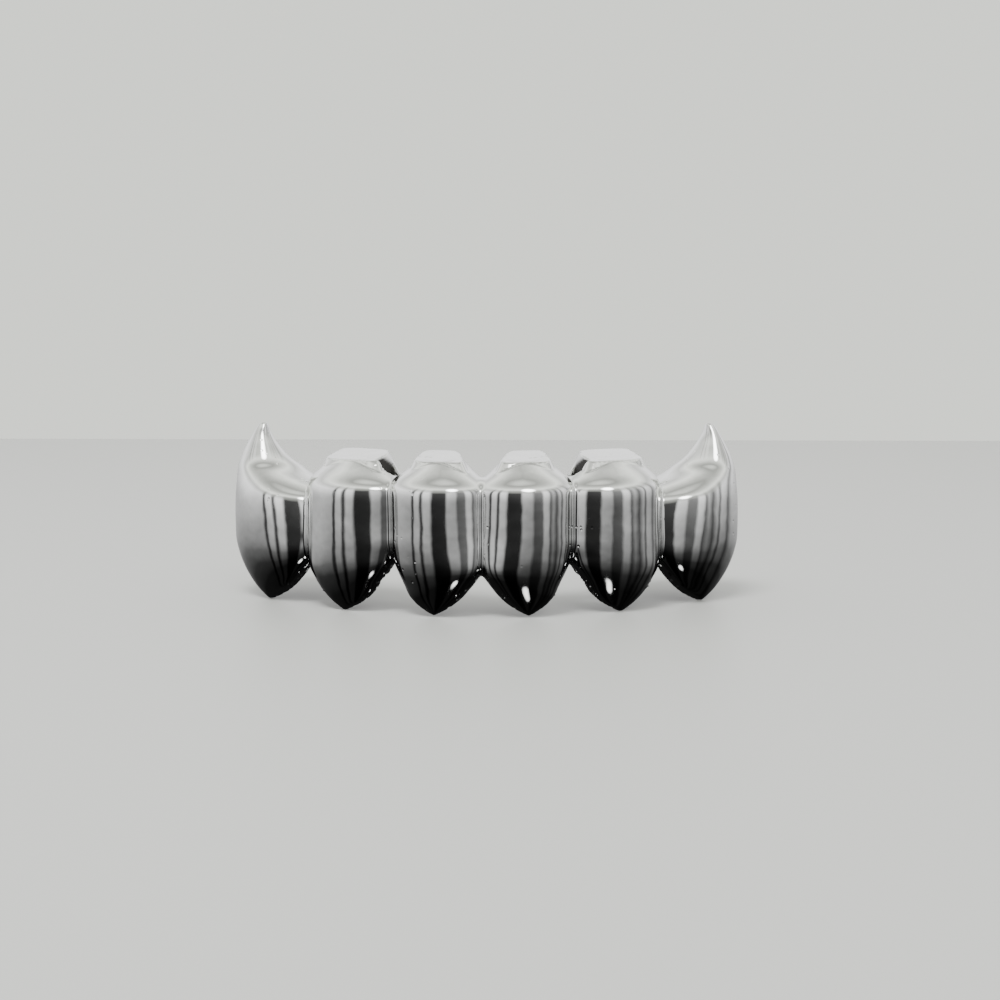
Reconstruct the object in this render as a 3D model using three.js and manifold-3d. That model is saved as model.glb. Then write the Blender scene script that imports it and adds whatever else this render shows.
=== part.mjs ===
// Lower fang tooth grill: six plated metal tooth caps in one piece, two incisor pairs between two fangs.
// Millimetres, +Z up. It stands on the pointed gum-side tips of its caps, and its front faces -Y.
// The origin is on the floor under the middle of the bounding box.
import * as THREE from 'three';
import { mergeVertices } from 'three/addons/utils/BufferGeometryUtils.js';
import Module from 'manifold-3d';

// Widths are from contact groove to contact groove, along each cap.
const CENTRAL_WIDTH = 6.5;
const LATERAL_WIDTH = 7.0;
const CANINE_WIDTH = 8.5;

// Turn of each cap's face away from straight ahead.
const CENTRAL_TURN = 13;
const LATERAL_TURN = 28;
const CANINE_TURN = 47;

// Front to back through each kind of cap.
const INCISOR_DEPTH = 6.7;
const CANINE_DEPTH = 8.8;

// Heights above the tips.
const INCISOR_HEIGHT = 10.3;
const CANINE_HEIGHT = 9.2;
const HORN_HEIGHT = 3.5;
const CENTRAL_LIFT = 0.1;

// Flat biting ledge on top of each incisor cap.
const CENTRAL_LEDGE_FRONT = 3.8;
const CENTRAL_LEDGE_BACK = 2.5;
const LATERAL_LEDGE_FRONT = 4.7;
const LATERAL_LEDGE_BACK = 4.1;
const LEDGE_LENGTH = 3.7;
const LEDGE_SETBACK = 2.45;
const LEDGE_STEP = 0.15;
const LEDGE_RISE = 0.5;
const CENTRAL_LEDGE_LEAN = 0.85;
const LATERAL_LEDGE_LEAN = 1.0;
const LATERAL_LEDGE_SIDE = 0.3;

// Flat roof of the pocket under each ledge, where the tooth's biting edge sits.
const SEAT_WIDTH = 2.8;

// How far the tongue-side shoulder lies below the front one, and how far the lower half of a cap
// sways towards the back teeth.
const CENTRAL_DROP = 0.85;
const LATERAL_DROP = 0.75;
const CANINE_DROP = 0.85;
const CENTRAL_SWAY = -0.22;
const LATERAL_SWAY = 0.12;

// Metal thickness.
const WALL = 0.75;
const ROOF = 0.7;

// Gum side: where the tongue-side rim runs, and the lip that the pointed tips keep.
const BACK_RIM_HEIGHT = 2.8;
const CONTACT_RIM_HEIGHT = 4.3;
const LIP_DEPTH = 2.2;
const LIP_FLARE = 0.9;

// Open slot in the mesial top corner of each lateral cap, and the passage through the contacts.
const SLOT_FRONT = 2.9;
const SLOT_LENGTH = 2.7;
const SLOT_MARGIN = 0.25;
const SLOT_BOTTOM = 5.6;
const CONTACT_WALL = 0.9;
const PASSAGE_WIDTH = 2.4;
const PASSAGE_HEIGHT = 6.6;

// How far the cutters run past the metal.
const GUM_CLEARANCE = 2.0;

// Faces of a ring of the outer skin and of the inner one, and steps along the scalloped rim.
const OUTER_SIDES = 24;
const INNER_SIDES = 16;
const RIM_STEPS = 10;

const METAL = { color: 0xd9dcdb, roughness: 0.08, metalness: 1.0 };

// Rings of an incisor cap up to its ledge. height is a share of INCISOR_HEIGHT and half a share of
// half the cap's width. front, middle and back are shares of INCISOR_DEPTH, measured back from the face.
// drop is a share of how far the ring's back lies below its front, sway a share of the cap's sway, and
// lean a share of the ledge's lean.
const INCISOR_RINGS = [
  { height: 0.0, half: 0.05, front: 0.165, middle: 0.235, back: 0.3 },
  { height: 0.022, half: 0.2, front: 0.14, middle: 0.24, back: 0.34 },
  { height: 0.075, half: 0.44, front: 0.1, middle: 0.245, back: 0.39 },
  { height: 0.136, half: 0.62, front: 0.07, middle: 0.25, back: 0.44 },
  { height: 0.204, half: 0.75, front: 0.04, middle: 0.26, back: 0.9, sway: 0.8 },
  { height: 0.277, half: 0.9, front: 0.018, middle: 0.28, back: 0.97, sway: 1 },
  { height: 0.36, half: 1.04, front: 0.005, middle: 0.38, back: 0.99, sway: 0.7 },
  { height: 0.5, half: 1.17, front: 0.0, middle: 0.51, back: 1.0, sway: 0.2 },
  { height: 0.84, half: 1.18, front: 0.003, middle: 0.54, back: 1.0, drop: 0.4, lean: 0.1 },
  { height: 0.885, half: 1.13, front: 0.03, middle: 0.54, back: 0.985, drop: 0.75, lean: 0.3 },
];

// Rings of the shoulder under the ledge. spread is 0 at half the ledge's width and 1 at the widest ring,
// follow and lean are how much of the ledge's sideways offset and lean the ring takes up, and square is
// the power of its superellipse.
const SHOULDER_RINGS = [
  { height: 0.92, spread: 0.72, front: 0.1, middle: 0.55, back: 0.965, drop: 1, follow: 0.4, lean: 0.45 },
  {
    height: 0.95, spread: 0.45, front: 0.19, middle: 0.57, back: 0.945,
    drop: 1, follow: 0.8, lean: 0.6, square: 2.2,
  },
  {
    height: 0.98, spread: 0.15, front: 0.295, middle: 0.6, back: 0.925,
    drop: 0.8, follow: 1, lean: 0.85, square: 3,
  },
];

// Rings of an incisor's hollow, in the same shares, before the wall is taken off.
const INCISOR_HOLLOW = [
  { height: -0.05, half: 0.6, front: 0.1, middle: 0.3, back: 0.9 },
  { height: 0.136, half: 0.8, front: 0.07, middle: 0.3, back: 0.94 },
  { height: 0.277, half: 1.03, front: 0.018, middle: 0.38, back: 0.98 },
  { height: 0.447, half: 1.13, front: 0.0, middle: 0.48, back: 0.99 },
  { height: 0.63, half: 1.14, front: 0.0, middle: 0.54, back: 1.0 },
  { height: 0.82, half: 1.1, front: 0.02, middle: 0.54, back: 0.99, drop: 0.4 },
  { height: 0.86, half: 0.98, front: 0.12, middle: 0.55, back: 0.96, drop: 0.75 },
];

// Rings of a canine cap and its horn. height up to 1 is a share of CANINE_HEIGHT, and above 1 it
// climbs the horn to 2 at its point. side is how far the ring's middle lies towards the back teeth.
const CANINE_RINGS = [
  { height: 0.0, half: 0.05, front: 0.17, middle: 0.22, back: 0.26, side: -0.1 },
  { height: 0.025, half: 0.18, front: 0.15, middle: 0.22, back: 0.3, side: -0.09 },
  { height: 0.085, half: 0.4, front: 0.115, middle: 0.225, back: 0.36, side: -0.08 },
  { height: 0.16, half: 0.58, front: 0.08, middle: 0.235, back: 0.5, side: -0.07 },
  { height: 0.25, half: 0.77, front: 0.048, middle: 0.26, back: 0.9, side: -0.06 },
  { height: 0.35, half: 0.94, front: 0.022, middle: 0.32, back: 0.97, side: -0.04 },
  { height: 0.47, half: 1.07, front: 0.005, middle: 0.4, back: 0.99, side: -0.01 },
  { height: 0.62, half: 1.12, front: 0.0, middle: 0.47, back: 1.0, side: 0.0 },
  { height: 0.84, half: 1.06, front: 0.007, middle: 0.47, back: 0.985, side: 0.03, drop: 0.4 },
  { height: 0.94, half: 0.88, front: 0.035, middle: 0.46, back: 0.91, side: 0.16, drop: 0.85 },
  { height: 1.02, half: 0.65, front: 0.07, middle: 0.42, back: 0.77, side: 0.32, drop: 1 },
  { height: 1.14, half: 0.46, front: 0.095, middle: 0.37, back: 0.62, side: 0.42, drop: 0.5 },
  { height: 1.34, half: 0.35, front: 0.13, middle: 0.33, back: 0.5, side: 0.45 },
  { height: 1.58, half: 0.24, front: 0.175, middle: 0.31, back: 0.415, side: 0.44 },
  { height: 1.8, half: 0.14, front: 0.22, middle: 0.3, back: 0.365, side: 0.42 },
  { height: 1.94, half: 0.07, front: 0.26, middle: 0.3, back: 0.335, side: 0.4 },
  { height: 2.0, half: 0.025, front: 0.285, middle: 0.3, back: 0.318, side: 0.39 },
];

const CANINE_HOLLOW = [
  { height: -0.05, half: 0.8, front: 0.12, middle: 0.5, back: 0.97, side: 0.0 },
  { height: 0.16, half: 0.85, front: 0.09, middle: 0.5, back: 0.98, side: 0.0 },
  { height: 0.33, half: 1.0, front: 0.025, middle: 0.5, back: 0.99, side: 0.0 },
  { height: 0.55, half: 1.1, front: 0.0, middle: 0.5, back: 1.0, side: 0.0 },
  { height: 0.78, half: 1.06, front: 0.02, middle: 0.5, back: 0.98, side: 0.02, drop: 0.4 },
  { height: 0.87, half: 0.84, front: 0.09, middle: 0.48, back: 0.86, side: 0.1, drop: 0.7 },
  { height: 0.93, half: 0.5, front: 0.2, middle: 0.42, back: 0.62, side: 0.22, drop: 0.7 },
];

const wasm = await Module();
wasm.setup();

function radians(degrees) {
  return degrees * Math.PI / 180;
}

// A closed mesh becomes a solid once its shared corners are merged.
function solid(geometry) {
  geometry.deleteAttribute('normal');
  geometry.deleteAttribute('uv');
  const merged = mergeVertices(geometry, 1e-5);
  return new wasm.Manifold(new wasm.Mesh({
    numProp: 3,
    vertProperties: new Float32Array(merged.attributes.position.array),
    triVerts: new Uint32Array(merged.index.array),
  }));
}

// Where a cap stands: its mesial groove, its turn and the side of the mouth that it is on.
function makeFrame(groove, turn, width, bulge, side) {
  const along = new THREE.Vector2(Math.cos(turn), Math.sin(turn));
  const out = new THREE.Vector2(Math.sin(turn), -Math.cos(turn));
  const face = groove.clone().addScaledVector(along, width / 2).addScaledVector(out, bulge);
  return { along, out, face, side, end: groove.clone().addScaledVector(along, width) };
}

// Cap coordinates: along the arch towards the back teeth, back from the face, and up.
function place(frame, along, back, up) {
  const x = frame.face.x + frame.along.x * along - frame.out.x * back;
  const y = frame.face.y + frame.along.y * along - frame.out.y * back;
  return new THREE.Vector3(frame.side * x, y, up);
}

// One ring, as points in cap coordinates. Its front and back halves are superellipses.
function ringPoints(ring, sides) {
  const points = [];
  const power = 2 / ring.square;
  for (let i = 0; i < sides; i += 1) {
    const angle = 2 * Math.PI * i / sides;
    const c = Math.cos(angle);
    const s = Math.sin(angle);
    const across = Math.sign(c) * Math.abs(c) ** power;
    const through = Math.sign(s) * Math.abs(s) ** power;
    const reach = s > 0 ? ring.back - ring.middle : ring.middle - ring.front;
    const back = ring.middle + reach * through;
    const share = (back - ring.front) / (ring.back - ring.front);
    const half = ring.half * (1 - (ring.taper ?? 0) * share);
    const along = ring.side + ring.lean * share + half * across;
    points.push([along, back, ring.height + (ring.rise ?? 0) * share]);
  }
  return points;
}

// Skin through the rings, closed at both ends by fans.
function loft(rings, sides, frame) {
  const positions = [];
  const index = [];
  const last = rings.length - 1;
  for (const ring of rings) {
    for (const [along, back, up] of ringPoints(ring, sides)) {
      positions.push(...place(frame, along, back, up).toArray());
    }
  }
  for (let row = 0; row < last; row += 1) {
    for (let i = 0; i < sides; i += 1) {
      const a = row * sides + i;
      const b = row * sides + (i + 1) % sides;
      index.push(a, a + sides, b, b, a + sides, b + sides);
    }
  }
  for (const row of [0, last]) {
    const points = ringPoints(rings[row], sides);
    const middle = [0, 1, 2].map((k) => points.reduce((sum, p) => sum + p[k], 0) / sides);
    const centre = positions.length / 3;
    positions.push(...place(frame, ...middle).toArray());
    for (let i = 0; i < sides; i += 1) {
      const a = row * sides + i;
      const b = row * sides + (i + 1) % sides;
      index.push(...(row === 0 ? [a, b, centre] : [b, a, centre]));
    }
  }
  if (frame.side > 0) {
    for (let i = 0; i < index.length; i += 3) {
      [index[i], index[i + 1]] = [index[i + 1], index[i]];
    }
  }
  const geometry = new THREE.BufferGeometry();
  geometry.setAttribute('position', new THREE.Float32BufferAttribute(positions, 3));
  geometry.setIndex(index);
  return solid(geometry);
}

// An outline in cap coordinates (along, up) drawn back from one depth to another.
function drawnBack(outline, from, to, frame) {
  const shape = new THREE.Shape(outline.map(([along, up]) => new THREE.Vector2(along, up)));
  return cutter(shape, to - from, frame, (p) => [p.x, from + p.z, p.y]);
}

// An outline in cap coordinates (along, back) drawn up from one height to another.
function drawnUp(outline, from, to, frame) {
  const shape = new THREE.Shape(outline.map(([along, back]) => new THREE.Vector2(along, back)));
  return cutter(shape, to - from, frame, (p) => [p.x, p.y, from + p.z]);
}

function cutter(shape, depth, frame, toCap) {
  const geometry = new THREE.ExtrudeGeometry(shape, { depth, bevelEnabled: false });
  const position = geometry.attributes.position;
  const corner = new THREE.Vector3();
  for (let i = 0; i < position.count; i += 1) {
    corner.fromBufferAttribute(position, i);
    position.setXYZ(i, ...place(frame, ...toCap(corner)).toArray());
  }
  const cut = solid(geometry);
  return cut.volume() < 0 ? solid(flipped(geometry)) : cut;
}

function flipped(geometry) {
  const position = geometry.attributes.position;
  const corners = Array.from({ length: position.count }, (_, i) => i);
  for (let i = 0; i < corners.length; i += 3) {
    [corners[i], corners[i + 1]] = [corners[i + 1], corners[i]];
  }
  geometry.setIndex(corners);
  return geometry;
}

// Rings in millimetres, from rows of shares.
function sized(rows, cap, depth, height) {
  const half = cap.width / 2;
  return rows.map((row) => ({
    height: height(row.height) + cap.lift,
    half: row.half * half,
    front: row.front * depth,
    middle: row.middle * depth,
    back: row.back * depth,
    side: (row.side ?? 0) * half + (row.sway ?? 0) * cap.sway + (row.follow ?? 0) * cap.ledgeSide,
    rise: -(row.drop ?? 0) * cap.drop,
    lean: (row.lean ?? 0) * (cap.lean ?? 0),
    square: row.square ?? 2,
  }));
}

// The same rings a wall's thickness further in.
function shrunk(rings) {
  return rings.map((ring) => ({
    ...ring,
    half: ring.half - WALL,
    front: ring.front + WALL,
    back: ring.back - WALL,
  }));
}

// How far the face of the widest ring stands in front of the contact grooves.
function faceBulge(rows, depth) {
  const widest = rows.reduce((best, row) => (row.half > best.half ? row : best));
  return widest.middle * depth * (1 - Math.sqrt(1 - 1 / widest.half ** 2));
}

// Everything below a scalloped rim, behind the lip that carries the tips: the room for the gums.
function gumCut(half, depth, lift, frame) {
  const reach = 1.4 * half;
  const outline = [[-reach, -GUM_CLEARANCE], [reach, -GUM_CLEARANCE]];
  for (let i = 0; i <= RIM_STEPS; i += 1) {
    const along = reach * (1 - 2 * i / RIM_STEPS);
    const share = Math.min(Math.abs(along) / half, 1) ** 2;
    outline.push([along, lift + BACK_RIM_HEIGHT + (CONTACT_RIM_HEIGHT - BACK_RIM_HEIGHT) * share]);
  }
  const corner = LIP_DEPTH + LIP_FLARE * reach / half;
  const far = depth + GUM_CLEARANCE;
  const plan = [[0, LIP_DEPTH], [reach, corner], [reach, far], [-reach, far], [-reach, corner]];
  return drawnBack(outline, 0, far, frame)
    .intersect(drawnUp(plan, -GUM_CLEARANCE, lift + CONTACT_RIM_HEIGHT + GUM_CLEARANCE, frame));
}

// The shoulder's rows with their half widths, between the ledge and the widest ring of the cap.
function shoulderRows(cap) {
  const widest = Math.max(...INCISOR_RINGS.map((row) => row.half));
  const narrowest = cap.ledgeFront / cap.width;
  return SHOULDER_RINGS.map((row) => ({ ...row, half: narrowest + (widest - narrowest) * row.spread }));
}

function boxOutline(alongFrom, alongTo, backFrom, backTo) {
  return [[alongFrom, backFrom], [alongTo, backFrom], [alongTo, backTo], [alongFrom, backTo]];
}

// Way through the contacts, from one tooth's hollow to the next.
function passage(alongFrom, alongTo, bulge, frame) {
  const backFrom = bulge + CONTACT_WALL;
  const outline = boxOutline(alongFrom, alongTo, backFrom, backFrom + PASSAGE_WIDTH);
  return drawnUp(outline, -GUM_CLEARANCE, PASSAGE_HEIGHT, frame);
}

function incisor(cap, groove, side) {
  const half = cap.width / 2;
  const depth = INCISOR_DEPTH;
  const bulge = faceBulge(INCISOR_RINGS, depth);
  const frame = makeFrame(groove, radians(cap.turn), cap.width, bulge, side);
  const climb = (share) => share * INCISOR_HEIGHT;
  const top = INCISOR_HEIGHT + cap.lift;
  const ledge = {
    height: top,
    half: cap.ledgeFront / 2,
    front: LEDGE_SETBACK,
    middle: LEDGE_SETBACK + LEDGE_LENGTH / 2,
    back: LEDGE_SETBACK + LEDGE_LENGTH,
    side: cap.ledgeSide,
    lean: cap.lean,
    rise: LEDGE_RISE,
    taper: 1 - cap.ledgeBack / cap.ledgeFront,
    square: 5,
  };
  const rings = sized([...INCISOR_RINGS, ...shoulderRows(cap)], cap, depth, climb);
  rings.push(ledge, { ...ledge, height: top + LEDGE_STEP, half: ledge.half - LEDGE_STEP / 2 });
  const skin = loft(rings, OUTER_SIDES, frame).subtract(gumCut(half, depth, cap.lift, frame));

  const hollow = loft(shrunk(sized(INCISOR_HOLLOW, cap, depth, climb)), INNER_SIDES, frame);
  const seatMiddle = cap.ledgeSide + cap.lean / 2;
  const seatFrom = seatMiddle - SEAT_WIDTH / 2;
  const seatBack = LEDGE_SETBACK + LEDGE_LENGTH - WALL;
  const seat = boxOutline(seatFrom, seatFrom + SEAT_WIDTH, LEDGE_SETBACK, seatBack);
  const hollows = [
    hollow,
    drawnUp(seat, INCISOR_HEIGHT / 2, top - ROOF, frame),
    passage(-half, half, bulge, frame),
  ];
  const slotBack = SLOT_FRONT + SLOT_LENGTH;
  if (cap.slotted) {
    const inner = seatMiddle - cap.ledgeFront / 2;
    const tip = SLOT_MARGIN - half;
    const outline = [
      [inner, SLOT_FRONT],
      [inner + SLOT_MARGIN, slotBack],
      [(inner + tip) / 2, slotBack],
      [tip, SLOT_FRONT + SLOT_LENGTH / 2],
      [tip, SLOT_FRONT + SLOT_LENGTH / 5],
    ];
    hollows.push(drawnUp(outline, SLOT_BOTTOM, top + LEDGE_RISE + GUM_CLEARANCE, frame));
  }
  return { frame, skin, hollows };
}

function canine(cap, groove, side) {
  const half = cap.width / 2;
  const depth = CANINE_DEPTH;
  const bulge = faceBulge(CANINE_RINGS, depth);
  const frame = makeFrame(groove, radians(cap.turn), cap.width, bulge, side);
  const climb = (share) => Math.min(share, 1) * CANINE_HEIGHT + Math.max(share - 1, 0) * HORN_HEIGHT;
  const skin = loft(sized(CANINE_RINGS, cap, depth, climb), OUTER_SIDES, frame)
    .subtract(gumCut(half, depth, cap.lift, frame));
  const hollow = loft(shrunk(sized(CANINE_HOLLOW, cap, depth, climb)), INNER_SIDES, frame);
  return { frame, skin, hollows: [hollow, passage(-half, 0, bulge, frame)] };
}

const CENTRAL = {
  make: incisor,
  width: CENTRAL_WIDTH,
  turn: CENTRAL_TURN,
  lift: CENTRAL_LIFT,
  drop: CENTRAL_DROP,
  sway: CENTRAL_SWAY,
  ledgeFront: CENTRAL_LEDGE_FRONT,
  ledgeBack: CENTRAL_LEDGE_BACK,
  ledgeSide: 0,
  lean: CENTRAL_LEDGE_LEAN,
  slotted: false,
};
const LATERAL = {
  make: incisor,
  width: LATERAL_WIDTH,
  turn: LATERAL_TURN,
  lift: 0,
  drop: LATERAL_DROP,
  sway: LATERAL_SWAY,
  ledgeFront: LATERAL_LEDGE_FRONT,
  ledgeBack: LATERAL_LEDGE_BACK,
  ledgeSide: LATERAL_LEDGE_SIDE,
  lean: LATERAL_LEDGE_LEAN,
  slotted: true,
};
const CANINE = {
  make: canine,
  width: CANINE_WIDTH,
  turn: CANINE_TURN,
  lift: 0,
  drop: CANINE_DROP,
  sway: 0,
  ledgeSide: 0,
};
const CAPS = [CENTRAL, LATERAL, CANINE];

// Both halves of the arch, each cap starting at the groove where the one before it ends.
function grill() {
  const skins = [];
  const hollows = [];
  for (const side of [-1, 1]) {
    let groove = new THREE.Vector2(0, 0);
    for (const cap of CAPS) {
      const built = cap.make(cap, groove, side);
      skins.push(built.skin);
      hollows.push(...built.hollows);
      groove = built.frame.end;
    }
  }
  const body = skins.reduce((sum, skin) => sum.add(skin));
  return hollows.reduce((rest, hollow) => rest.subtract(hollow), body);
}

function meshGeometry(manifold) {
  const mesh = manifold.getMesh();
  const geometry = new THREE.BufferGeometry();
  geometry.setAttribute('position', new THREE.Float32BufferAttribute(mesh.vertProperties, 3));
  geometry.setIndex(new THREE.BufferAttribute(mesh.triVerts, 1));
  geometry.computeBoundingBox();
  const box = geometry.boundingBox;
  geometry.translate(-(box.min.x + box.max.x) / 2, -(box.min.y + box.max.y) / 2, -box.min.z);
  return geometry;
}

const group = new THREE.Group();
const fangGrill = new THREE.Mesh(meshGeometry(grill()), new THREE.MeshStandardMaterial(METAL));
fangGrill.name = 'fang_grill';
group.add(fangGrill);

export default group;
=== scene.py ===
# Lower fang tooth grill: its plated metal, floor, light and camera.
# The cast metal is one smooth surface, worked out in millimetres from the same sizes as the CAD solid
# and set into that solid's box in metres.
import math

import bpy
import numpy as np
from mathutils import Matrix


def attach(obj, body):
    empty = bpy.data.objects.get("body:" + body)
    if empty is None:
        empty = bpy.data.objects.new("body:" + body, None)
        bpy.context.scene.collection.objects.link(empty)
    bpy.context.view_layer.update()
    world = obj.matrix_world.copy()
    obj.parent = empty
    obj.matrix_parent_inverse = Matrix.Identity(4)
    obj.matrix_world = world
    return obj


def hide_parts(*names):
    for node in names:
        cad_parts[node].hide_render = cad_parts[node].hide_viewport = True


MM = 0.001

# Widths from contact groove to contact groove, and turn of each face away from straight ahead.
CENTRAL_WIDTH = 6.5
LATERAL_WIDTH = 7.0
CANINE_WIDTH = 8.5
CENTRAL_TURN = 13
LATERAL_TURN = 28
CANINE_TURN = 47

# Front to back through each kind of cap, and heights above the tips.
INCISOR_DEPTH = 6.7
CANINE_DEPTH = 8.8
INCISOR_HEIGHT = 10.3
CANINE_HEIGHT = 9.2
HORN_HEIGHT = 3.5
CENTRAL_LIFT = 0.1

# Flat biting ledge on top of each incisor cap.
CENTRAL_LEDGE_FRONT = 3.8
CENTRAL_LEDGE_BACK = 2.5
LATERAL_LEDGE_FRONT = 4.7
LATERAL_LEDGE_BACK = 4.1
LEDGE_LENGTH = 3.7
LEDGE_SETBACK = 2.45
LEDGE_STEP = 0.15
LEDGE_RISE = 0.5
LEDGE_SQUARE = 5
CENTRAL_LEDGE_LEAN = 0.85
LATERAL_LEDGE_LEAN = 1.0
LATERAL_LEDGE_SIDE = 0.3
SEAT_WIDTH = 2.8

# How far the tongue-side shoulder lies below the front one, and how far the lower half of a cap
# sways towards the back teeth.
CENTRAL_DROP = 0.85
LATERAL_DROP = 0.75
CANINE_DROP = 0.85
CENTRAL_SWAY = -0.22
LATERAL_SWAY = 0.12

# Metal thickness, and the gum-side rim.
WALL = 0.75
ROOF = 0.7
BACK_RIM_HEIGHT = 2.8
CONTACT_RIM_HEIGHT = 4.3
LIP_DEPTH = 2.2
LIP_FLARE = 0.9

# Slot in the corner of each lateral cap, with the band left outside it, the rounding of its outline and
# of its edge, and the passage through the contacts.
SLOT_FRONT = 2.9
SLOT_LENGTH = 2.7
SLOT_MARGIN = 0.25
SLOT_BOTTOM = 5.6
SLOT_BAND = 0.6
SLOT_ROUND = 0.4
SLOT_FILLET = 0.14
CONTACT_WALL = 0.9
PASSAGE_WIDTH = 2.4
PASSAGE_HEIGHT = 6.6

# Rounding where skins meet in a groove, along the gum-side rim, at the ledge and inside.
GROOVE_FILLET = 0.3
RIM_FILLET = 0.25
LEDGE_FILLET = 0.06
HOLLOW_FILLET = 0.15

# How far the ledge's sides spread for each millimetre down, and how deep the ledge's own block goes.
LEDGE_DRAFT = 0.5
LEDGE_BLOCK = 1.2

# Grid step of the surface, and the box that the grid fills, before the row is set in its middle.
CELL = 0.165
MARGIN = 0.7
GRID_SIDE = 19.2
GRID_FRONT = -3.2
GRID_BACK = 14.5
# Distance that stands for a cap out of reach, and how far round itself a cap is worked out.
FAR = 9.0
REACH = 1.2
REACH_SHARE = 1.3
# Least half width or reach of a ring, and rounding at the ends of a skin.
LEAST = 0.03
END_FILLET = 0.1
# Depth under the outer skin where the dull inside starts, with its colour darkened as painted shade, and
# over how far it comes in.
INSIDE_FROM = 0.05
INSIDE_OVER = 0.1
# Smoothing along the height of the outlines seen from the front and from the side, and the step that
# slopes are measured over.
WIDTH_SIGMA = 0.2
PROFILE_SIGMA = 0.42
PROFILE_STEP = 0.02
PROFILE_PAD = 1.5
SLOPE_STEP = 0.02

COLUMNS = ("height", "half", "front", "middle", "back", "side", "drop", "lean")

# Rings of an incisor cap, in shares of its sizes: height, half width, then front, middle and back of the
# ring behind the face, its share of the sideways sway, how much its back drops, and how much it leans.
INCISOR_RINGS = [
    (0.0, 0.05, 0.165, 0.235, 0.3, 0, 0, 0),
    (0.022, 0.2, 0.14, 0.24, 0.34, 0, 0, 0),
    (0.075, 0.44, 0.1, 0.245, 0.39, 0, 0, 0),
    (0.136, 0.62, 0.07, 0.25, 0.44, 0.3, 0, 0),
    (0.204, 0.75, 0.04, 0.26, 0.9, 0.8, 0, 0),
    (0.277, 0.9, 0.018, 0.28, 0.97, 1, 0, 0),
    (0.36, 1.04, 0.005, 0.38, 0.99, 0.7, 0, 0),
    (0.5, 1.17, 0.0, 0.51, 1.0, 0.2, 0, 0),
    (0.84, 1.18, 0.003, 0.54, 1.0, 0, 0.4, 0.1),
    (0.885, 1.13, 0.03, 0.54, 0.985, 0, 0.75, 0.3),
]
# Rings of the shoulder under the ledge: height, half width from 0 at the ledge's to 1 at the widest
# ring's, front, middle and back, how much it follows the ledge sideways, drop and lean.
SHOULDER_RINGS = [
    (0.92, 0.72, 0.1, 0.55, 0.965, 0.4, 1, 0.45),
    (0.95, 0.45, 0.19, 0.57, 0.945, 0.8, 1, 0.6),
    (0.98, 0.15, 0.295, 0.6, 0.925, 1, 0.8, 0.85),
    (1.03, -0.25, 0.42, 0.64, 0.9, 1, 0, 1),
]
INCISOR_HOLLOW = [
    (-0.05, 0.6, 0.1, 0.3, 0.9, 0, 0, 0),
    (0.136, 0.8, 0.07, 0.3, 0.94, 0, 0, 0),
    (0.277, 1.03, 0.018, 0.38, 0.98, 0, 0, 0),
    (0.447, 1.13, 0.0, 0.48, 0.99, 0, 0, 0),
    (0.63, 1.14, 0.0, 0.54, 1.0, 0, 0, 0),
    (0.82, 1.1, 0.02, 0.54, 0.99, 0, 0.4, 0),
    (0.86, 0.98, 0.12, 0.55, 0.96, 0, 0.75, 0),
]
# A canine's height above 1 climbs its horn, to 2 at the point. Its sixth column is in half widths.
CANINE_RINGS = [
    (0.0, 0.05, 0.17, 0.22, 0.26, -0.1, 0, 0),
    (0.025, 0.18, 0.15, 0.22, 0.3, -0.09, 0, 0),
    (0.085, 0.4, 0.115, 0.225, 0.36, -0.08, 0, 0),
    (0.16, 0.58, 0.08, 0.235, 0.5, -0.07, 0, 0),
    (0.25, 0.77, 0.048, 0.26, 0.9, -0.06, 0, 0),
    (0.35, 0.94, 0.022, 0.32, 0.97, -0.04, 0, 0),
    (0.47, 1.07, 0.005, 0.4, 0.99, -0.01, 0, 0),
    (0.62, 1.12, 0.0, 0.47, 1.0, 0, 0, 0),
    (0.84, 1.06, 0.007, 0.47, 0.985, 0.03, 0.4, 0),
    (0.94, 0.88, 0.035, 0.46, 0.91, 0.16, 0.85, 0),
    (1.02, 0.65, 0.07, 0.42, 0.77, 0.32, 1, 0),
    (1.14, 0.46, 0.095, 0.37, 0.62, 0.42, 0.5, 0),
    (1.34, 0.35, 0.13, 0.33, 0.5, 0.45, 0, 0),
    (1.58, 0.24, 0.175, 0.31, 0.415, 0.44, 0, 0),
    (1.8, 0.14, 0.22, 0.3, 0.365, 0.42, 0, 0),
    (1.94, 0.095, 0.25, 0.3, 0.345, 0.4, 0, 0),
    (2.0, 0.06, 0.27, 0.3, 0.33, 0.39, 0, 0),
]
CANINE_HOLLOW = [
    (-0.05, 0.8, 0.12, 0.5, 0.97, 0, 0, 0),
    (0.16, 0.85, 0.09, 0.5, 0.98, 0, 0, 0),
    (0.33, 1.0, 0.025, 0.5, 0.99, 0, 0, 0),
    (0.55, 1.1, 0.0, 0.5, 1.0, 0, 0, 0),
    (0.78, 1.06, 0.02, 0.5, 0.98, 0.02, 0.4, 0),
    (0.87, 0.84, 0.09, 0.48, 0.86, 0.1, 0.7, 0),
    (0.93, 0.5, 0.2, 0.42, 0.62, 0.22, 0.7, 0),
]


def smooth_max(a, b, radius):
    """The larger of two distances, rounded off where they are within radius of each other."""
    overlap = np.maximum(radius - np.abs(a - b), 0.0)
    return np.maximum(a, b) + overlap * overlap / (4 * radius)


def smooth_min(a, b, radius):
    return -smooth_max(-a, -b, radius)


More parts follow.
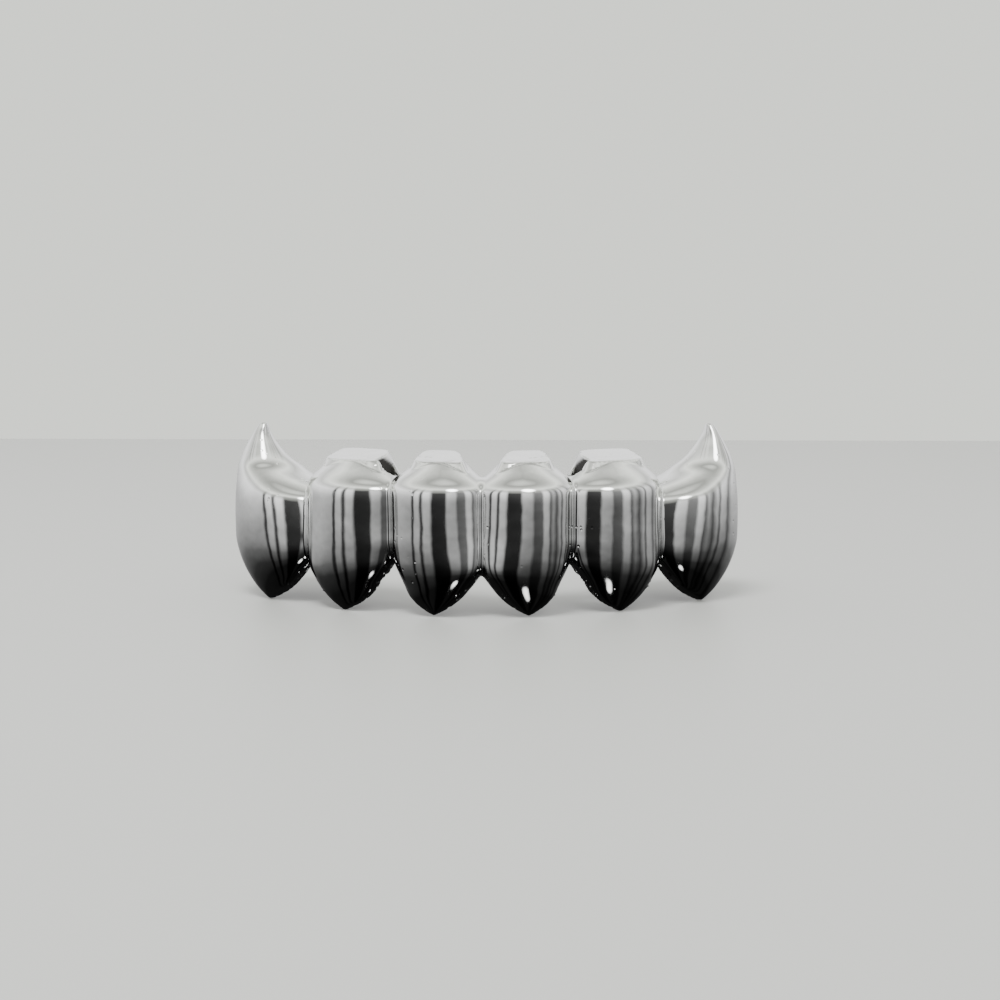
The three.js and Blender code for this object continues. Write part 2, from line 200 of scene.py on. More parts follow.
def monotone_curve(knots, values, points):
    """Smooth curve through the knots that never overshoots them."""
    width = np.diff(knots)
    slope = np.diff(values) / width
    tangent = np.empty_like(values)
    tangent[0], tangent[-1] = slope[0], slope[-1]
    before, after = slope[:-1], slope[1:]
    same = before * after > 0
    weight = width[:-1] + width[1:]
    even = 3 * weight * before * after
    mixed = (width[:-1] + weight) * before + (width[1:] + weight) * after
    tangent[1:-1] = np.where(same, even / np.where(same, mixed, 1.0), 0.0)
    cell = np.clip(np.searchsorted(knots, points) - 1, 0, len(width) - 1)
    t = (points - knots[cell]) / width[cell]
    inside = np.clip(t, 0, 1)
    h = width[cell]
    curve = (values[cell] * (1 + 2 * inside) * (1 - inside) ** 2
             + values[cell + 1] * inside ** 2 * (3 - 2 * inside)
             + tangent[cell] * h * inside * (1 - inside) ** 2
             + tangent[cell + 1] * h * inside ** 2 * (inside - 1))
    return curve + tangent[cell + (t > 1)] * (t - inside) * h


class Rings:
    """A skin through rings whose sizes change smoothly with height."""

    def __init__(self, rows, cap, climb, inset=0.0):
        table = dict(zip(COLUMNS, np.array(rows, float).T))
        knots = climb(table["height"]) + cap["lift"]
        self.low, self.high = knots[0], knots[-1]
        self.levels = np.arange(self.low - PROFILE_PAD, self.high + PROFILE_PAD, PROFILE_STEP)
        half, depth = cap["half"], cap["depth"]
        columns = {
            "half": (table["half"] * half - inset, WIDTH_SIGMA),
            "front": (table["front"] * depth + inset, PROFILE_SIGMA),
            "middle": (table["middle"] * depth, PROFILE_SIGMA),
            "back": (table["back"] * depth - inset, PROFILE_SIGMA),
            "side": (table["side"], WIDTH_SIGMA),
            "drop": (table["drop"] * cap["drop"], PROFILE_SIGMA),
            "lean": (table["lean"] * cap["lean"], PROFILE_SIGMA),
        }
        self.columns = {}
        for name, (values, sigma) in columns.items():
            reach = int(3 * sigma / PROFILE_STEP)
            bell = np.exp(-0.5 * (np.arange(-reach, reach + 1) * PROFILE_STEP / sigma) ** 2)
            curve = monotone_curve(knots, values, self.levels)
            self.columns[name] = np.convolve(np.pad(curve, reach, "edge"), bell / bell.sum(), "valid")

    def at(self, name, height):
        return np.interp(height, self.levels, self.columns[name])

    def rough(self, along, back, up):
        height = up
        for _ in range(2):
            front, rear = self.at("front", height), self.at("back", height)
            share = np.clip((back - front) / np.maximum(rear - front, 0.1), 0, 1)
            height = up + self.at("drop", height) * share
        half = np.maximum(self.at("half", height), LEAST)
        middle = self.at("middle", height)
        front = np.maximum(middle - self.at("front", height), LEAST)
        rear = np.maximum(self.at("back", height) - middle, LEAST)
        through = back - middle
        reach = np.where(through > 0, rear, front)
        across = (along - self.at("side", height) - self.at("lean", height) * share) / half
        ratio = np.sqrt(across ** 2 + (through / reach) ** 2)
        return (ratio - 1) * np.minimum(half, reach)

    def distance(self, along, back, up):
        """The rough value over its slope, which is close to a true distance near the skin."""
        value = self.rough(along, back, up)
        slope = np.zeros_like(value)
        for axis in range(3):
            step = [0.0, 0.0, 0.0]
            step[axis] = SLOPE_STEP
            moved = self.rough(along + step[0], back + step[1], up + step[2])
            slope += ((moved - value) / SLOPE_STEP) ** 2
        inside = value / np.maximum(np.sqrt(slope), 0.25)
        return smooth_max(smooth_max(inside, up - self.high, END_FILLET), self.low - up, END_FILLET)


def slab(value, low, high):
    return np.maximum(low - value, value - high)


def ledge_share(back):
    return np.clip((back - LEDGE_SETBACK) / LEDGE_LENGTH, 0, 1)


def ledge_plane(back, top):
    return top + LEDGE_STEP + LEDGE_RISE * ledge_share(back)


def ledge_distance(cap, along, back, up, top):
    share = ledge_share(back)
    half = (cap["ledge_front"] + (cap["ledge_back"] - cap["ledge_front"]) * share) / 2
    plane = ledge_plane(back, top)
    draft = LEDGE_DRAFT * (plane - up)
    across = np.abs(along - cap["ledge_side"] - cap["lean"] * share) / (half + draft)
    through = np.abs(back - LEDGE_SETBACK - LEDGE_LENGTH / 2) / (LEDGE_LENGTH / 2 + draft)
    ratio = (across ** LEDGE_SQUARE + through ** LEDGE_SQUARE) ** (1 / LEDGE_SQUARE)
    side = (ratio - 1) * half
    return smooth_max(smooth_max(side, up - plane, LEDGE_FILLET), top - LEDGE_BLOCK - up, END_FILLET)


def gum_room(half, lift, along, back, up):
    share = np.minimum(np.abs(along) / half, 1) ** 2
    rim = lift + BACK_RIM_HEIGHT + (CONTACT_RIM_HEIGHT - BACK_RIM_HEIGHT) * share
    lip = LIP_DEPTH + LIP_FLARE * np.sqrt(along ** 2 + 0.05) / half
    return smooth_max(up - rim, lip - back, RIM_FILLET)


def slot_distance(cap, along, back, up, top):
    """Distance from an upright hole whose plan is a polygon with rounded corners."""
    inner = cap["ledge_side"] + cap["lean"] / 2 - cap["ledge_front"] / 2
    tip = SLOT_BAND - cap["half"]
    rear = SLOT_FRONT + SLOT_LENGTH
    corners = [
        (inner, SLOT_FRONT),
        (inner + SLOT_MARGIN, rear),
        ((inner + tip) / 2, rear),
        (tip, SLOT_FRONT + SLOT_LENGTH / 2),
        (tip, SLOT_FRONT + SLOT_LENGTH / 5),
    ]
    result = np.maximum(SLOT_BOTTOM - up, up - top - 3)
    for (x0, y0), (x1, y1) in zip(corners, corners[1:] + corners[:1]):
        length = math.hypot(x1 - x0, y1 - y0)
        edge = ((along - x0) * (y1 - y0) - (back - y0) * (x1 - x0)) / length
        result = smooth_max(result, edge, SLOT_ROUND)
    return result


def incisor(cap):
    """Adds the sizes, skin and hollow of an incisor cap to its own widths, turn, ledge and drop."""
    def climb(share):
        return share * INCISOR_HEIGHT

    cap.update(kind="incisor", half=cap["width"] / 2, depth=INCISOR_DEPTH)
    cap["bulge"] = face_bulge(INCISOR_RINGS, INCISOR_DEPTH)
    widest = max(row[1] for row in INCISOR_RINGS)
    narrowest = cap["ledge_front"] / cap["width"]
    rows = [row[:5] + (row[5] * cap["sway"],) + row[6:] for row in INCISOR_RINGS]
    for height, spread, front, middle, back, follow, drop, lean in SHOULDER_RINGS:
        half = narrowest + (widest - narrowest) * spread
        rows.append((height, half, front, middle, back, follow * cap["ledge_side"], drop, lean))
    cap["skin"] = Rings(rows, cap, climb)
    cap["hollow"] = Rings(INCISOR_HOLLOW, cap, climb, WALL)
    return cap


def canine(cap):
    """Adds the sizes, skin and hollow of a canine cap to its own width, turn and drop."""
    def climb(share):
        return np.minimum(share, 1) * CANINE_HEIGHT + np.maximum(share - 1, 0) * HORN_HEIGHT

    cap.update(kind="canine", half=cap["width"] / 2, depth=CANINE_DEPTH, lift=0.0, lean=0.0)
    cap["bulge"] = face_bulge(CANINE_RINGS, CANINE_DEPTH)
    skin, hollow = ([row[:5] + (row[5] * cap["half"],) + row[6:] for row in rows]
                    for rows in (CANINE_RINGS, CANINE_HOLLOW))
    cap["skin"] = Rings(skin, cap, climb)
    cap["hollow"] = Rings(hollow, cap, climb, WALL)
    return cap


def face_bulge(rows, depth):
    widest = max(rows, key=lambda row: row[1])
    return widest[3] * depth * (1 - math.sqrt(1 - 1 / widest[1] ** 2))


def place_caps(caps):
    """Gives each cap of the right half its place, starting at the groove where the last one ends."""
    groove = np.zeros(2)
    for cap in caps:
        turn = math.radians(cap["turn"])
        cap["along"] = np.array([math.cos(turn), math.sin(turn)])
        cap["out"] = np.array([math.sin(turn), -math.cos(turn)])
        cap["face"] = groove + cap["along"] * cap["half"] + cap["out"] * cap["bulge"]
        groove = groove + cap["along"] * cap["width"]


def cap_distances(cap, x, y, up):
    """Distances from the cap's skin, from its hollow and from its slot, at points near the cap."""
    dx = x - cap["face"][0]
    dy = y - cap["face"][1]
    along = dx * cap["along"][0] + dy * cap["along"][1]
    back = -(dx * cap["out"][0] + dy * cap["out"][1])
    near = ((np.abs(along) < REACH_SHARE * cap["half"] + 1)
            & (back > -REACH) & (back < cap["depth"] + REACH))
    skin = np.full(x.shape, FAR)
    hollow = np.full(x.shape, FAR)
    slot = np.full(x.shape, FAR)
    if near.any():
        place = along[near], back[near], up[near]
        skin[near], hollow[near] = near_distances(cap, *place)
        if cap.get("slotted"):
            slot[near] = slot_distance(cap, *place, INCISOR_HEIGHT + cap["lift"])
    return skin, hollow, slot


def near_distances(cap, along, back, up):
    half = cap["half"]
    skin = cap["skin"].distance(along, back, up)
    hollow = cap["hollow"].distance(along, back, up)
    passage_front = cap["bulge"] + CONTACT_WALL
    reach = half if cap["kind"] == "incisor" else 0.0
    passage = np.maximum(slab(along, -half, reach),
                         slab(back, passage_front, passage_front + PASSAGE_WIDTH))
    passage = np.maximum(passage, up - PASSAGE_HEIGHT)
    hollow = smooth_min(hollow, passage, HOLLOW_FILLET)
    if cap["kind"] == "incisor":
        top = INCISOR_HEIGHT + cap["lift"]
        skin = smooth_max(skin, up - ledge_plane(back, top), LEDGE_FILLET)
        skin = smooth_min(skin, ledge_distance(cap, along, back, up, top), LEDGE_FILLET)
        middle = cap["ledge_side"] + cap["lean"] / 2
        seat = np.maximum(slab(along - middle, -SEAT_WIDTH / 2, SEAT_WIDTH / 2),
                          slab(back, LEDGE_SETBACK, LEDGE_SETBACK + LEDGE_LENGTH - WALL))
        seat = np.maximum(seat, slab(up, INCISOR_HEIGHT / 2, top - ROOF))
        hollow = smooth_min(hollow, seat, HOLLOW_FILLET)
    skin = smooth_max(skin, -gum_room(half, cap["lift"], along, back, up), RIM_FILLET)
    return skin, hollow


def outside_distances(caps, x, y, up):
    """Distances from the skins, the hollows and the slots of all the caps."""
    skin = np.full(x.shape, FAR)
    hollow = np.full(x.shape, FAR)
    slot = np.full(x.shape, FAR)
    for side in (1, -1):
        for cap in caps:
            cap_skin, cap_hollow, cap_slot = cap_distances(cap, side * x, y, up)
            skin = smooth_min(skin, cap_skin, GROOVE_FILLET)
            hollow = np.minimum(hollow, cap_hollow)
            slot = np.minimum(slot, cap_slot)
    return skin, hollow, slot


def metal_distance(caps, x, y, up):
    """Distance from the metal's surface, negative inside the metal."""
    skin, hollow, slot = outside_distances(caps, x, y, up)
    return smooth_max(smooth_max(skin, -hollow, HOLLOW_FILLET), -slot, SLOT_FILLET)


def sample_grid(caps, low, high):
    axes = [np.arange(a, b + CELL, CELL) for a, b in zip(low, high)]
    values = np.empty([len(a) for a in axes])
    y, up = np.meshgrid(axes[1], axes[2], indexing="ij")
    for i, x in enumerate(axes[0]):
        values[i] = metal_distance(caps, np.full(y.shape, x), y, up)
    return axes, values


def surface_net(axes, values):
    """Quads around the cells that the surface crosses, one corner in each such cell."""
    inside = values < 0
    shape = np.array(values.shape) - 1
    corners = [(i, j, k) for i in (0, 1) for j in (0, 1) for k in (0, 1)]

    def shifted(array, offset):
        return array[tuple(slice(o, o + n) for o, n in zip(offset, shape))]

    count = sum(shifted(inside, c).astype(int) for c in corners)
    active = (count > 0) & (count < 8)
    number = np.full(tuple(shape), -1)
    cells = np.argwhere(active)
    number[active] = np.arange(len(cells))
    total = np.zeros((len(cells), 3))
    crossings = np.zeros(len(cells))
    for a in corners:
        for axis in range(3):
            if a[axis]:
                continue
            b = tuple(v + (i == axis) for i, v in enumerate(a))
            va = values[tuple((cells + a).T)]
            vb = values[tuple((cells + b).T)]
            crossed = (va < 0) != (vb < 0)
            share = np.where(crossed, va / np.where(crossed, va - vb, 1.0), 0.0)
            point = np.array(a, float) + np.eye(3)[axis] * share[:, None]
            total += point * crossed[:, None]
            crossings += crossed
    points = (cells + total / crossings[:, None]) * CELL + np.array([a[0] for a in axes])
    quads = []
    for axis in range(3):
        one, two = (axis + 1) % 3, (axis + 2) % 3
        start = [slice(None)] * 3
        end = [slice(None)] * 3
        start[axis], end[axis] = slice(None, -1), slice(1, None)
        here, there = inside[tuple(start)], inside[tuple(end)]
        edges = np.argwhere(here != there)
        leaving = here[tuple(edges.T)]
        ring = []
        for du, dv in ((-1, -1), (0, -1), (0, 0), (-1, 0)):
            cell = edges.copy()
            cell[:, one] += du
            cell[:, two] += dv
            ring.append(number[tuple(cell.T)])
        faces = np.stack(ring, axis=1)
        quads.append(np.where(leaving[:, None], faces, faces[:, ::-1]))
    return points, np.concatenate(quads)


def slopes(caps, points):
    """Distances at the points, and how fast they change along each axis."""
    x, y, up = points.T
    value = metal_distance(caps, x, y, up)
    slope = np.empty_like(points)
    for axis in range(3):
        step = np.zeros(3)
        step[axis] = SLOPE_STEP
        ahead = metal_distance(caps, *(points + step).T)
        behind = metal_distance(caps, *(points - step).T)
        slope[:, axis] = (ahead - behind) / (2 * SLOPE_STEP)
    return value, slope


def settle(caps, points):
    """Moves the corners onto the surface and gives its normals."""
    for _ in range(3):
        value, slope = slopes(caps, points)
        size = np.maximum((slope ** 2).sum(axis=1), 0.09)
        move = -(value / size)[:, None] * slope
        points = points + np.clip(move, -CELL / 2, CELL / 2)
    _, slope = slopes(caps, points)
    length = np.linalg.norm(slope, axis=1, keepdims=True)
    return points, slope / np.maximum(length, 1e-6)


def make_metal(caps, material):
    """The whole casting as one mesh, with normals taken from the distance itself."""
    low = (-GRID_SIDE, GRID_FRONT, -MARGIN)
    high = (GRID_SIDE, GRID_BACK, CANINE_HEIGHT + HORN_HEIGHT + MARGIN)
    axes, values = sample_grid(caps, low, high)
    points, quads = surface_net(axes, values)
    points, normals = settle(caps, points)
    depth = -outside_distances(caps, *points.T)[0]
    points[:, 1] -= (points[:, 1].min() + points[:, 1].max()) / 2
    points[:, 0] -= (points[:, 0].min() + points[:, 0].max()) / 2
    points[:, 2] -= points[:, 2].min()
    mesh = bpy.data.meshes.new("fang_grill_metal")
    mesh.from_pydata((points * MM).tolist(), [], quads.tolist())
    mesh.polygons.foreach_set("use_smooth", [True] * len(mesh.polygons))
    mesh.normals_split_custom_set_from_vertices(normals.tolist())
    # 0 on the outer skin and 1 on the walls of the hollows and slots, where the metal is dulled and its
    # colour darkened as painted shade.
    inside = mesh.attributes.new("inside", "FLOAT", "POINT")
    inside.data.foreach_set("value", np.clip((depth - INSIDE_FROM) / INSIDE_OVER, 0, 1))
    mesh.materials.append(material)
    piece = bpy.data.objects.new("fang_grill_metal", mesh)
    bpy.context.collection.objects.link(piece)
    return piece


def node(tree, kind, **settings):
    made = tree.nodes.new(kind)
    for name, value in settings.items():
        if name in made.inputs:
            made.inputs[name].default_value = value
        else:
            setattr(made, name, value)
    return made


def plated_metal():
    """Mirror plating over a cast surface: long soft waves, faint pits and fine polishing scratches, dull
    inside the hollows and slots, where painted shade darkens its colour.
    """
    material = bpy.data.materials.new("plated_metal")
    material.use_nodes = True
    tree = material.node_tree
    shader = tree.nodes["Principled BSDF"]
    shader.inputs["Metallic"].default_value = 1.0
    place = node(tree, "ShaderNodeTexCoord")

    waves = node(tree, "ShaderNodeTexNoise", Scale=420.0, Detail=2.0, Roughness=0.45)
    pits = node(tree, "ShaderNodeTexVoronoi", Scale=1500.0, Randomness=1.0)
    pit_shape = node(tree, "ShaderNodeMapRange")
    pit_shape.inputs["From Min"].default_value = 0.02
    pit_shape.inputs["From Max"].default_value = 0.16
    pit_shape.clamp = True
    pit_patches = node(tree, "ShaderNodeTexNoise", Scale=260.0, Detail=1.0)
    pit_gate = node(tree, "ShaderNodeMapRange")
    pit_gate.inputs["From Min"].default_value = 0.6
    pit_gate.inputs["From Max"].default_value = 0.68
    pit_depth = node(tree, "ShaderNodeMath", operation="MULTIPLY")
    for texture in (waves, pits, pit_patches):
        tree.links.new(place.outputs["Object"], texture.inputs["Vector"])
    tree.links.new(pits.outputs["Distance"], pit_shape.inputs["Value"])
    tree.links.new(pit_patches.outputs["Fac"], pit_gate.inputs["Value"])

    invert = node(tree, "ShaderNodeMath", operation="SUBTRACT")
    invert.inputs[0].default_value = 1.0
    tree.links.new(pit_shape.outputs["Result"], invert.inputs[1])
    tree.links.new(invert.outputs[0], pit_depth.inputs[0])
    tree.links.new(pit_gate.outputs["Result"], pit_depth.inputs[1])

    stretch = node(tree, "ShaderNodeMapping")
    stretch.inputs["Scale"].default_value = (9000.0, 9000.0, 700.0)
    scratches = node(tree, "ShaderNodeTexNoise", Scale=1.0, Detail=3.0, Roughness=0.6)
    tree.links.new(place.outputs["Object"], stretch.inputs["Vector"])
    tree.links.new(stretch.outputs["Vector"], scratches.inputs["Vector"])

    wave_bump = node(tree, "ShaderNodeBump", Strength=1.0, Distance=0.00004)
    tree.links.new(waves.outputs["Fac"], wave_bump.inputs["Height"])
    pit_bump = node(tree, "ShaderNodeBump", Strength=1.0, Distance=0.000022, invert=True)
    tree.links.new(pit_depth.outputs[0], pit_bump.inputs["Height"])
    tree.links.new(wave_bump.outputs["Normal"], pit_bump.inputs["Normal"])
    scratch_bump = node(tree, "ShaderNodeBump", Strength=0.5, Distance=0.0000012)
    tree.links.new(scratches.outputs["Fac"], scratch_bump.inputs["Height"])
    tree.links.new(pit_bump.outputs["Normal"], scratch_bump.inputs["Normal"])
    tree.links.new(scratch_bump.outputs["Normal"], shader.inputs["Normal"])

    rough = node(tree, "ShaderNodeMapRange")
    rough.inputs["From Min"].default_value = 0.3
    rough.inputs["From Max"].default_value = 0.75
    rough.inputs["To Min"].default_value = 0.03
    rough.inputs["To Max"].default_value = 0.1
    haze = node(tree, "ShaderNodeTexNoise", Scale=900.0, Detail=5.0, Roughness=0.65)
    tree.links.new(place.outputs["Object"], haze.inputs["Vector"])
    tree.links.new(haze.outputs["Fac"], rough.inputs["Value"])
    inside = node(tree, "ShaderNodeAttribute", attribute_name="inside")
    dull = node(tree, "ShaderNodeMixRGB", blend_type="MIX", Color2=(0.5, 0.5, 0.5, 1))
    tree.links.new(inside.outputs["Fac"], dull.inputs["Fac"])
    tree.links.new(rough.outputs["Result"], dull.inputs["Color1"])
    tree.links.new(dull.outputs["Color"], shader.inputs["Roughness"])

    tint = node(tree, "ShaderNodeValToRGB")
    tint.color_ramp.elements[0].position = 0.3
    tint.color_ramp.elements[0].color = (0.72, 0.725, 0.715, 1)
    tint.color_ramp.elements[1].position = 0.7
    tint.color_ramp.elements[1].color = (0.84, 0.845, 0.835, 1)
    tree.links.new(haze.outputs["Fac"], tint.inputs["Fac"])
    # Near-black colour on the walls of the hollows and slots: painted shade, so that the recesses look
    # dark.
    painted_inside_shade = node(tree, "ShaderNodeMixRGB", blend_type="MIX", Color2=(0.05, 0.048, 0.045, 1))
    tree.links.new(inside.outputs["Fac"], painted_inside_shade.inputs["Fac"])
    tree.links.new(tint.outputs["Color"], painted_inside_shade.inputs["Color1"])
    tree.links.new(painted_inside_shade.outputs["Color"], shader.inputs["Base Color"])
    return material


def plain(name, colour, roughness):
    """One colour and roughness, with no pattern."""
    material = bpy.data.materials.new(name)
    material.use_nodes = True
    shader = material.node_tree.nodes["Principled BSDF"]
    shader.inputs["Base Color"].default_value = (*colour, 1)
    shader.inputs["Roughness"].default_value = roughness
    return material


# Light that the metal sees round the room, by azimuth: degrees from the camera's side, towards -X as
# positive, and brightness. Dark upright shapes stand between bright walls.
ROOM = [
    (-180, 0.95),
    (-125, 0.9),
    (-112, 0.2),
    (-106, 0.7),
    (-96, 0.8),
    (-91, 0.12),
    (-86, 0.7),
    (-77, 0.12),
    (-69, 0.5),
    (-62, 0.15),
    (-57, 0.9),
    (-49, 0.95),
    (-44, 0.2),
    (-29, 0.16),
    (-24, 0.6),
    (-8, 0.7),
    (-3, 0.05),
    (23, 0.04),
    (29, 0.85),
    (40, 0.95),
    (44, 0.08),
    (47, 0.08),
    (51, 0.95),
    (59, 0.9),
    (62, 0.08),
    (65, 0.08),
    (68, 0.75),
    (95, 0.95),
    (180, 0.95),
]
# How bright the light is by elevation: dark below, bright above, with soft bands overhead.
HEIGHTS = [
    (-90, 0.008),
    (-38, 0.01),
    (-26, 0.04),
    (-17, 0.17),
    (-9, 0.5),
    (-3, 0.95),
    (6, 1.5),
    (20, 2.0),
    (34, 1.3),
    (46, 2.2),
    (60, 1.25),
    (72, 0.75),
    (82, 1.4),
    (90, 1.6),
]
# Colour of the ceiling, and of the plain backdrop that only the camera sees.
CEILING = (0.84, 0.855, 0.8, 1)
BACKDROP = (1.2, 1.23, 1.14)
# How high up, as the upward share of a direction, the upright shapes start to fade and are gone.
FADE_FROM = 0.35
FADE_TO = 0.75

# Camera, in metres and degrees: its place, its tilt from straight down, its turn and its lens.
CAMERA_PLACE = (0.00429, -0.12096, 0.02219)
CAMERA_TILT = 83
CAMERA_TURN = 1.5
CAMERA_LENS = 61.2
CAMERA_SENSOR = 36
CAMERA_NEAREST = 0.005

# Table top, in metres: its near and far edges, half its width and its colour.
FLOOR_NEAR = -0.6
FLOOR_FAR = 0.134
FLOOR_HALF = 0.6
FLOOR_COLOUR = (0.44, 0.445, 0.43)

# Lamp that lights the table: its place, what it aims at, its size and its power.
KEY_PLACE = (-0.05, -0.12, 0.3)
KEY_AIM = (0, 0, 0.006)
KEY_SIZE = 0.12
KEY_POWER = 1.2

# A lamp overhead and its dimmer image in the table top: azimuth, elevation, brightness and inner and
# outer radius of its soft disc in degrees.
LAMPS = [(-20, 42, 9.0, 1, 13), (-20, -42, 3.0, 0.5, 7)]


def fill_ramp(ramp, stops, low, high):
    """Puts the stops on the ramp, whose two own elements are the ends."""
    for angle, _ in stops[1:-1]:
        ramp.elements.new((angle - low) / (high - low))
    for element, (_, value) in zip(ramp.elements, stops):
        element.color = (value, value, value, 1)


def lamp_disc(tree, place, azimuth, elevation, brightness, inner, outer):
    """Soft round patch of light in one direction."""
    a, e = math.radians(azimuth), math.radians(elevation)
    toward = node(tree, "ShaderNodeVectorMath", operation="DOT_PRODUCT")
    toward.inputs[1].default_value = (-math.sin(a) * math.cos(e), -math.cos(a) * math.cos(e), math.sin(e))
    tree.links.new(place.outputs["Generated"], toward.inputs[0])
    disc = node(tree, "ShaderNodeMapRange", interpolation_type="SMOOTHSTEP")
    disc.inputs["From Min"].default_value = math.cos(math.radians(outer))
    disc.inputs["From Max"].default_value = math.cos(math.radians(inner))
    disc.inputs["To Max"].default_value = brightness
    tree.links.new(toward.outputs["Value"], disc.inputs["Value"])
    return disc.outputs["Result"]


def studio_world():
    world = bpy.data.worlds.new("studio")
    bpy.context.scene.world = world
    world.use_nodes = True
    tree = world.node_tree
    tree.nodes.clear()
    place = node(tree, "ShaderNodeTexCoord")
    split = node(tree, "ShaderNodeSeparateXYZ")
    tree.links.new(place.outputs["Generated"], split.inputs["Vector"])

    flipped_x = node(tree, "ShaderNodeMath", operation="MULTIPLY")
    flipped_x.inputs[1].default_value = -1.0
    flipped_y = node(tree, "ShaderNodeMath", operation="MULTIPLY")
    flipped_y.inputs[1].default_value = -1.0
    tree.links.new(split.outputs["X"], flipped_x.inputs[0])
    tree.links.new(split.outputs["Y"], flipped_y.inputs[0])
    azimuth = node(tree, "ShaderNodeMath", operation="ARCTAN2")
    tree.links.new(flipped_x.outputs[0], azimuth.inputs[0])
    tree.links.new(flipped_y.outputs[0], azimuth.inputs[1])
    azimuth_share = node(tree, "ShaderNodeMapRange")
    azimuth_share.inputs["From Min"].default_value = -math.pi
    azimuth_share.inputs["From Max"].default_value = math.pi
    tree.links.new(azimuth.outputs[0], azimuth_share.inputs["Value"])
    elevation = node(tree, "ShaderNodeMath", operation="ARCSINE")
    tree.links.new(split.outputs["Z"], elevation.inputs[0])
    elevation_share = node(tree, "ShaderNodeMapRange")
    elevation_share.inputs["From Min"].default_value = -math.pi / 2
    elevation_share.inputs["From Max"].default_value = math.pi / 2
    tree.links.new(elevation.outputs[0], elevation_share.inputs["Value"])

    around = node(tree, "ShaderNodeValToRGB")
    fill_ramp(around.color_ramp, ROOM, -180, 180)
    tree.links.new(azimuth_share.outputs["Result"], around.inputs["Fac"])
    upward = node(tree, "ShaderNodeValToRGB")
    fill_ramp(upward.color_ramp, HEIGHTS, -90, 90)
    tree.links.new(elevation_share.outputs["Result"], upward.inputs["Fac"])
    # The upright shapes fade out overhead, where the ceiling is plain.
    overhead = node(tree, "ShaderNodeMapRange")
    overhead.inputs["From Min"].default_value = FADE_FROM
    overhead.inputs["From Max"].default_value = FADE_TO
    tree.links.new(split.outputs["Z"], overhead.inputs["Value"])
    walls = node(tree, "ShaderNodeMixRGB", blend_type="MIX", Color2=CEILING)
    tree.links.new(overhead.outputs["Result"], walls.inputs["Fac"])
    tree.links.new(around.outputs["Color"], walls.inputs["Color1"])
    light = node(tree, "ShaderNodeMixRGB", blend_type="MULTIPLY", Fac=1.0)
    tree.links.new(walls.outputs["Color"], light.inputs["Color1"])
    tree.links.new(upward.outputs["Color"], light.inputs["Color2"])

    total = light.outputs["Color"]
    for lamp in LAMPS:
        added = node(tree, "ShaderNodeMixRGB", blend_type="ADD", Fac=1.0)
        tree.links.new(total, added.inputs["Color1"])
        tree.links.new(lamp_disc(tree, place, *lamp), added.inputs["Color2"])
        total = added.outputs["Color"]

    seen = node(tree, "ShaderNodeLightPath")
    lit = node(tree, "ShaderNodeBackground", Strength=1.0)
    tree.links.new(total, lit.inputs["Color"])
    backdrop = node(tree, "ShaderNodeBackground", Strength=1.0)
    backdrop.inputs["Color"].default_value = (*BACKDROP, 1)
    chosen = node(tree, "ShaderNodeMixShader")
    tree.links.new(seen.outputs["Is Camera Ray"], chosen.inputs["Fac"])
    tree.links.new(lit.outputs["Background"], chosen.inputs[1])
    tree.links.new(backdrop.outputs["Background"], chosen.inputs[2])
    output = node(tree, "ShaderNodeOutputWorld")
    tree.links.new(chosen.outputs["Shader"], output.inputs["Surface"])


def make_floor():
    """Pale table top, whose far edge shows behind the object."""
    corners = [
        (-FLOOR_HALF, FLOOR_NEAR, 0),
        (FLOOR_HALF, FLOOR_NEAR, 0),
        (FLOOR_HALF, FLOOR_FAR, 0),
        (-FLOOR_HALF, FLOOR_FAR, 0),
    ]
    mesh = bpy.data.meshes.new("floor")
    mesh.from_pydata(corners, [], [(0, 1, 2, 3)])
    mesh.materials.append(plain("floor_plain", FLOOR_COLOUR, 0.45))
    floor = bpy.data.objects.new("floor", mesh)
    bpy.context.collection.objects.link(floor)
    floor.visible_glossy = False


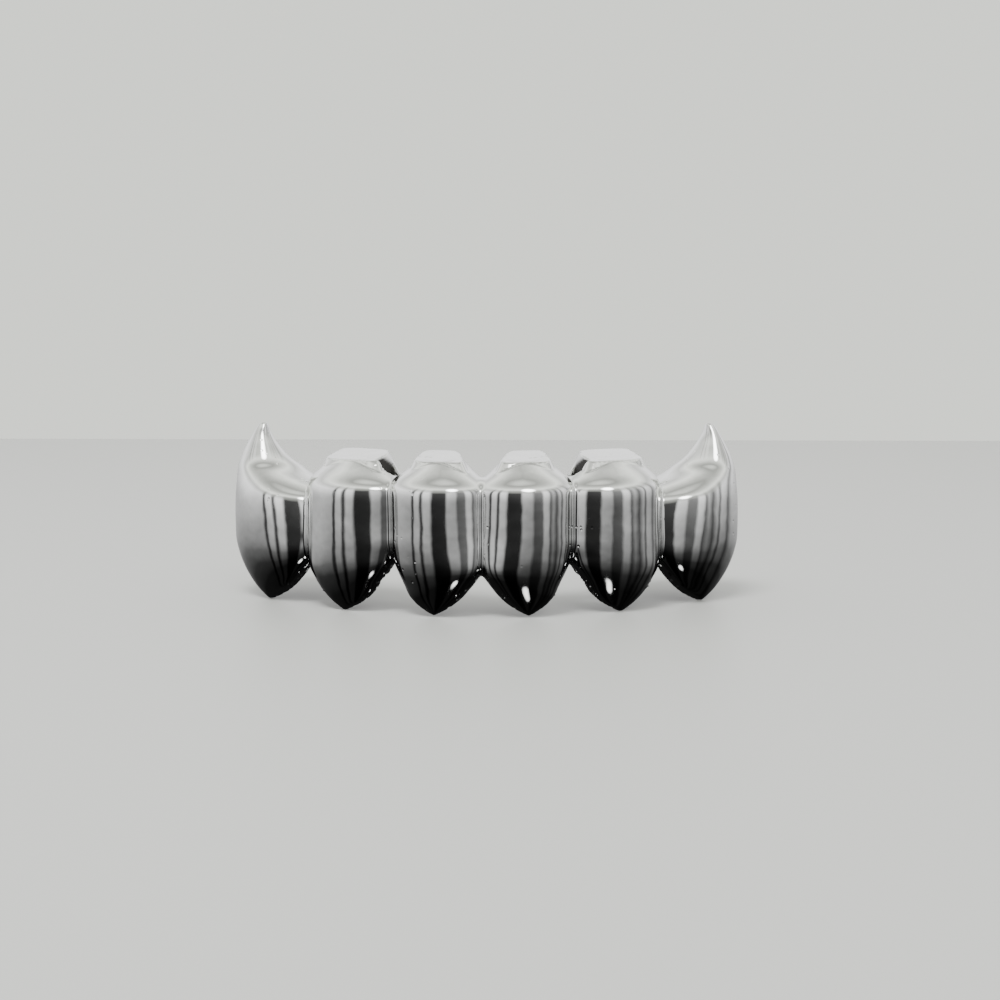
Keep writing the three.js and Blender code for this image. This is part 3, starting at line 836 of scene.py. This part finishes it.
def softbox(name, place, aim, size, power):
    lamp = bpy.data.lights.new(name, "AREA")
    lamp.size = size
    lamp.energy = power
    made = bpy.data.objects.new(name, lamp)
    made.location = place
    direction = np.array(aim) - np.array(place)
    flat = math.hypot(direction[0], direction[1])
    tilt = math.atan2(flat, -direction[2])
    turn = math.atan2(direction[1], direction[0]) - math.pi / 2
    made.rotation_euler = (tilt, 0, turn)
    made.visible_glossy = False
    bpy.context.collection.objects.link(made)


def make_camera():
    data = bpy.data.cameras.new("camera")
    data.sensor_width = CAMERA_SENSOR
    data.lens = CAMERA_LENS
    data.clip_start = CAMERA_NEAREST
    camera = bpy.data.objects.new("camera", data)
    camera.location = CAMERA_PLACE
    camera.rotation_euler = (math.radians(CAMERA_TILT), 0, math.radians(CAMERA_TURN))
    bpy.context.collection.objects.link(camera)
    bpy.context.scene.camera = camera


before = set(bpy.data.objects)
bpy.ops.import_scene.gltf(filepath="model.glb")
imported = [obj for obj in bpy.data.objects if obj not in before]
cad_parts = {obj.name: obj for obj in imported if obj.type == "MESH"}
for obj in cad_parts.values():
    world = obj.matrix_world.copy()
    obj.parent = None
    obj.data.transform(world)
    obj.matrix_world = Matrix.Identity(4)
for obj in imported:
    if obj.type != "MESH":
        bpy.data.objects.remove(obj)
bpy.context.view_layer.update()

caps = [
    incisor({
        "width": CENTRAL_WIDTH, "turn": CENTRAL_TURN, "lift": CENTRAL_LIFT, "drop": CENTRAL_DROP,
        "sway": CENTRAL_SWAY, "lean": CENTRAL_LEDGE_LEAN, "ledge_side": 0.0,
        "ledge_front": CENTRAL_LEDGE_FRONT, "ledge_back": CENTRAL_LEDGE_BACK,
    }),
    incisor({
        "width": LATERAL_WIDTH, "turn": LATERAL_TURN, "lift": 0.0, "drop": LATERAL_DROP,
        "sway": LATERAL_SWAY, "lean": LATERAL_LEDGE_LEAN, "ledge_side": LATERAL_LEDGE_SIDE,
        "ledge_front": LATERAL_LEDGE_FRONT, "ledge_back": LATERAL_LEDGE_BACK, "slotted": True,
    }),
    canine({"width": CANINE_WIDTH, "turn": CANINE_TURN, "drop": CANINE_DROP}),
]
place_caps(caps)
metal = make_metal(caps, plated_metal())
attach(metal, "root")
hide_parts("fang_grill")

make_floor()
studio_world()
softbox("key_light", KEY_PLACE, KEY_AIM, KEY_SIZE, KEY_POWER)
make_camera()
